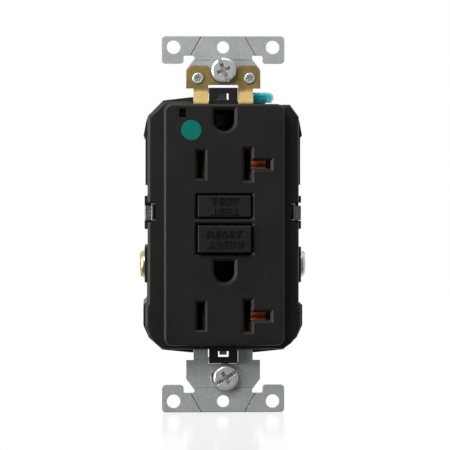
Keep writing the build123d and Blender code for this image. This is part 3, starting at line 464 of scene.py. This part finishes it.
def threaded_screw(node_name, axis, seat, neck, length, crest):
    """The CAD screw's own head and neck with a real thread below them.

    axis points from the head to the tip, seat is the point under the head on the axis."""
    source = nodes[node_name]
    mesh = source.data.copy()
    axis, side, up = frame_on(axis)
    seat = Vector(seat)
    bm = bmesh.new()
    bm.from_mesh(mesh)
    shank = [f for f in bm.faces if all((v.co - seat).dot(axis) > neck - FACE_TOLERANCE for v in f.verts)]
    bmesh.ops.delete(bm, geom=shank, context="FACES")
    bmesh.ops.delete(bm, geom=[v for v in bm.verts if not v.link_faces], context="VERTS")
    columns = THREAD_SIDES
    root = crest - THREAD_DEPTH * THREAD_PITCH
    neck_radius = crest - NECK_RELIEF
    rows = []
    steps = int(round((length - neck) / THREAD_PITCH * RINGS_PER_PITCH))
    for i in range(steps + 1):
        t = neck + (length - neck) * i / steps
        ring = []
        for j in range(columns):
            turn = j / columns
            radius = thread_radius((t - neck) / THREAD_PITCH - turn, root, crest)
            start = min(1.0, (t - neck) / (THREAD_RUN_IN * THREAD_PITCH))
            radius = neck_radius * (1 - start) + radius * start
            end = (length - t) / TIP_CHAMFER
            if end < 1.0:
                radius = min(radius, crest - TIP_CHAMFER * (1 - end))
            angle = 2 * math.pi * turn
            point = seat + axis * t + (side * math.cos(angle) + up * math.sin(angle)) * radius
            ring.append(bm.verts.new(point))
        rows.append(ring)
    for a, b in zip(rows, rows[1:]):
        for j in range(columns):
            k = (j + 1) % columns
            bm.faces.new((a[j], a[k], b[k], b[j])).smooth = True
    centre = bm.verts.new(seat + axis * length)
    for j in range(columns):
        bm.faces.new((rows[-1][j], rows[-1][(j + 1) % columns], centre))
    inner = bm.verts.new(seat + axis * neck)
    for j in range(columns):
        bm.faces.new((rows[0][(j + 1) % columns], rows[0][j], inner))
    bm.to_mesh(mesh)
    bm.free()
    piece = bpy.data.objects.new(node_name + "_threaded", mesh)
    bpy.context.scene.collection.objects.link(piece)
    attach(piece, source["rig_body"])
    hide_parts(node_name)


def add_screw(node_name, axis, head, neck, crest):
    """Reads the screw's place from its CAD box. head is the head's thickness along the axis."""
    low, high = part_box(node_name)
    axis = Vector(axis)
    centre = (low + high) / 2
    near = min(low.dot(axis), high.dot(axis))
    far = max(low.dot(axis), high.dot(axis))
    seat = centre + axis * (near + head - centre.dot(axis))
    threaded_screw(node_name, axis, seat, neck, far - near - head, crest)


for place in ("upper", "lower"):
    add_screw(f"box_screw_{place}", (0, 1, 0), HEAD_BOX_SCREW, NECK_BOX_SCREW, CREST_BOX_SCREW)
for use in ("line", "load"):
    for side, slot, axis in (("hot", "brass", (1, 0, 0)), ("neutral", "zinc_steel", (-1, 0, 0))):
        add_screw(f"{use}_screw_{side}", axis, HEAD_TERMINAL_SCREW, NECK_TERMINAL_SCREW,
                  CREST_TERMINAL_SCREW)
add_screw("ground_screw", (0, 0, -1), HEAD_GROUND_SCREW, NECK_TERMINAL_SCREW,
          CREST_TERMINAL_SCREW)


# ------------------------------------------------------------------ raised words on the buttons
def raised_word(name, word, body, button, middle_z, width, turned):
    """A generic function word, raised from a button's front, in the built-in typeface."""
    curve = bpy.data.curves.new(name, "FONT")
    curve.body = word
    curve.align_x = "CENTER"
    curve.align_y = "CENTER"
    curve.extrude = LETTER_EXTRUDE
    curve.bevel_depth = LETTER_BEVEL
    curve.bevel_resolution = 1
    curve.offset = LETTER_WEIGHT
    curve.space_character = LETTER_SPACING
    text = bpy.data.objects.new(name + "_curve", curve)
    bpy.context.scene.collection.objects.link(text)
    bpy.context.view_layer.update()
    mesh = bpy.data.meshes.new_from_object(text.evaluated_get(bpy.context.evaluated_depsgraph_get()))
    bpy.data.objects.remove(text)
    mesh.name = name
    columns = list(zip(*(v.co for v in mesh.vertices)))
    low = Vector([min(column) for column in columns])
    span = Vector([max(column) for column in columns]) - low
    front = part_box(button)[0].y
    middle_x = (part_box(button)[0].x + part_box(button)[1].x) / 2
    for v in mesh.vertices:
        across = ((v.co.x - low.x) / span.x - 0.5) * width
        along = ((v.co.y - low.y) / span.y - 0.5) * WORD_HEIGHT
        out = (v.co.z - low.z) / span.z * (WORD_RISE + WORD_SUNK) - WORD_SUNK
        if turned:
            across, along = -across, -along
        v.co = (middle_x + across, front - out, middle_z + along)
    piece = bpy.data.objects.new(name, mesh)
    bpy.context.scene.collection.objects.link(piece)
    # The letters get the plastic painted with shade and with highlight on their edges.
    mesh.materials.clear()
    mesh.materials.append(shaded_word_plastic)
    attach(piece, body)


for name, word, body, button, middle, width, turned in (
    ("test_word", "TEST", "test_key", "test_button", 6.45, 7.7, False),
    ("test_word_turned", "TEST", "test_key", "test_button", 3.65, 7.7, True),
    ("reset_word", "RESET", "reset_key", "reset_button", -2.45, 9.8, False),
    ("reset_word_turned", "RESET", "reset_key", "reset_button", -5.25, 9.8, True),
):
    raised_word(name, word, body, button, middle * MM, width * MM, turned)


# ------------------------------------------------------------------ floor, light and camera
def floor_surface():
    """Pale glossy table top: white, lightly self-lit like a light table, with a faint mirror image."""
    material = bpy.data.materials.new("pale_floor")
    material.use_nodes = True
    tree = material.node_tree
    tree.nodes.clear()
    add = tree.nodes.new

    def link(a, b):
        tree.links.new(a, b)

    cloud = add("ShaderNodeTexNoise")
    cloud.inputs["Scale"].default_value = 30.0
    white = add("ShaderNodeBsdfDiffuse")
    white.inputs["Color"].default_value = rgb(0.04, 0.04, 0.04)
    glow = add("ShaderNodeEmission")
    glow.inputs["Strength"].default_value = FLOOR_GLOW
    lit = add("ShaderNodeAddShader")
    gloss = add("ShaderNodeBsdfGlossy")
    rough = add("ShaderNodeMapRange")
    rough.inputs["To Min"].default_value = 0.10
    rough.inputs["To Max"].default_value = 0.16
    mix = add("ShaderNodeMixShader")
    mix.inputs[0].default_value = FLOOR_MIRROR
    out = add("ShaderNodeOutputMaterial")
    link(cloud.outputs["Fac"], rough.inputs["Value"])
    link(rough.outputs["Result"], gloss.inputs["Roughness"])
    link(white.outputs[0], lit.inputs[0])
    link(glow.outputs[0], lit.inputs[1])
    link(lit.outputs[0], mix.inputs[1])
    link(gloss.outputs[0], mix.inputs[2])
    link(mix.outputs[0], out.inputs["Surface"])
    return material


def make_floor(level):
    bm = bmesh.new()
    bmesh.ops.create_grid(bm, x_segments=FLOOR_CELLS, y_segments=FLOOR_CELLS, size=FLOOR_HALF)
    for v in bm.verts:
        v.co.z = level
    mesh = bpy.data.meshes.new("floor")
    bm.to_mesh(mesh)
    bm.free()
    mesh.materials.append(floor_surface())
    floor = bpy.data.objects.new("floor", mesh)
    bpy.context.scene.collection.objects.link(floor)
    floor.visible_diffuse = False
    floor.visible_glossy = False


def soft_light(name, place, aim, size, power, colour=(1, 1, 1)):
    data = bpy.data.lights.new(name, "AREA")
    data.shape = "RECTANGLE"
    data.size, data.size_y = size
    data.energy = power
    data.color = colour
    lamp = bpy.data.objects.new(name, data)
    bpy.context.scene.collection.objects.link(lamp)
    lamp.location = place
    lamp.rotation_mode = "QUATERNION"
    lamp.rotation_quaternion = (Vector(aim) - Vector(place)).to_track_quat("-Z", "Y")
    lamp.visible_camera = False


def make_world():
    """White behind and above and dim in front, so that black plastic stays black.

    The camera itself sees plain white."""
    world = bpy.data.worlds.new("studio")
    bpy.context.scene.world = world
    world.use_nodes = True
    tree = world.node_tree
    tree.nodes.clear()
    add = tree.nodes.new
    coords = add("ShaderNodeTexCoord")
    split = add("ShaderNodeSeparateXYZ")
    tree.links.new(coords.outputs["Generated"], split.inputs[0])

    def ramp(socket, low, high, to_low, to_high):
        made = add("ShaderNodeMapRange")
        made.interpolation_type = "SMOOTHSTEP"
        tree.links.new(socket, made.inputs["Value"])
        set_range(made, low, high, to_low, to_high)
        return made.outputs["Result"]

    around = ramp(split.outputs["Y"], -0.35, 0.55, 0.17, 1.0)
    above = ramp(split.outputs["Z"], 0.25, 0.85, 0.0, 0.35)
    total = add("ShaderNodeMath")
    total.operation = "ADD"
    tree.links.new(around, total.inputs[0])
    tree.links.new(above, total.inputs[1])
    lit = add("ShaderNodeBackground")
    tree.links.new(total.outputs[0], lit.inputs["Strength"])
    seen = add("ShaderNodeBackground")
    seen.inputs["Strength"].default_value = 1.0
    path = add("ShaderNodeLightPath")
    mix = add("ShaderNodeMixShader")
    tree.links.new(path.outputs["Is Camera Ray"], mix.inputs[0])
    tree.links.new(lit.outputs[0], mix.inputs[1])
    tree.links.new(seen.outputs[0], mix.inputs[2])
    out = add("ShaderNodeOutputWorld")
    tree.links.new(mix.outputs[0], out.inputs["Surface"])
    lit.inputs["Color"].default_value = (1, 1, 1, 1)
    seen.inputs["Color"].default_value = (1, 1, 1, 1)


def make_camera(aim, distance, azimuth, elevation, width):
    """Long lens; width is how much of the aim's plane the frame shows."""
    a, e = math.radians(azimuth), math.radians(elevation)
    back = Vector((math.sin(a) * math.cos(e), -math.cos(a) * math.cos(e), math.sin(e)))
    data = bpy.data.cameras.new("camera")
    data.sensor_width = 36.0
    data.lens = 36.0 * distance / width
    data.clip_start, data.clip_end = 0.05, 60.0
    camera = bpy.data.objects.new("camera", data)
    bpy.context.scene.collection.objects.link(camera)
    camera.location = Vector(aim) + back * distance
    camera.rotation_mode = "QUATERNION"
    camera.rotation_quaternion = (-back).to_track_quat("-Z", "Y")
    bpy.context.scene.camera = camera


make_floor(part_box("mounting_strap")[0].z)
make_world()
soft_light("key_softbox", (-0.20, -0.30, 0.32), (0, 0, 0.01), (0.24, 0.24), 1.7, (1.0, 0.975, 0.94))
soft_light("left_softbox", (-0.80, -0.16, 0.10), (0, 0, 0), (0.4, 0.9), 5.5, (1.0, 0.97, 0.93))
soft_light("top_softbox", (0.1, -0.30, 0.60), (0, 0, 0), (0.5, 0.3), 0.8)
soft_light("low_fill", (-0.45, -0.30, 0.03), (0, 0, -0.03), (0.12, 0.12), 0.95)
soft_light("right_strip", (0.85, -0.25, 0.10), (0, 0, 0), (0.2, 0.9), 0.5, (0.94, 0.97, 1.0))
make_camera(aim=(0.575 * MM, 0, -0.19 * MM), distance=0.85, azimuth=-2.75, elevation=1.0, width=123.2 * MM)
bpy.context.scene.view_settings.view_transform = "Standard"
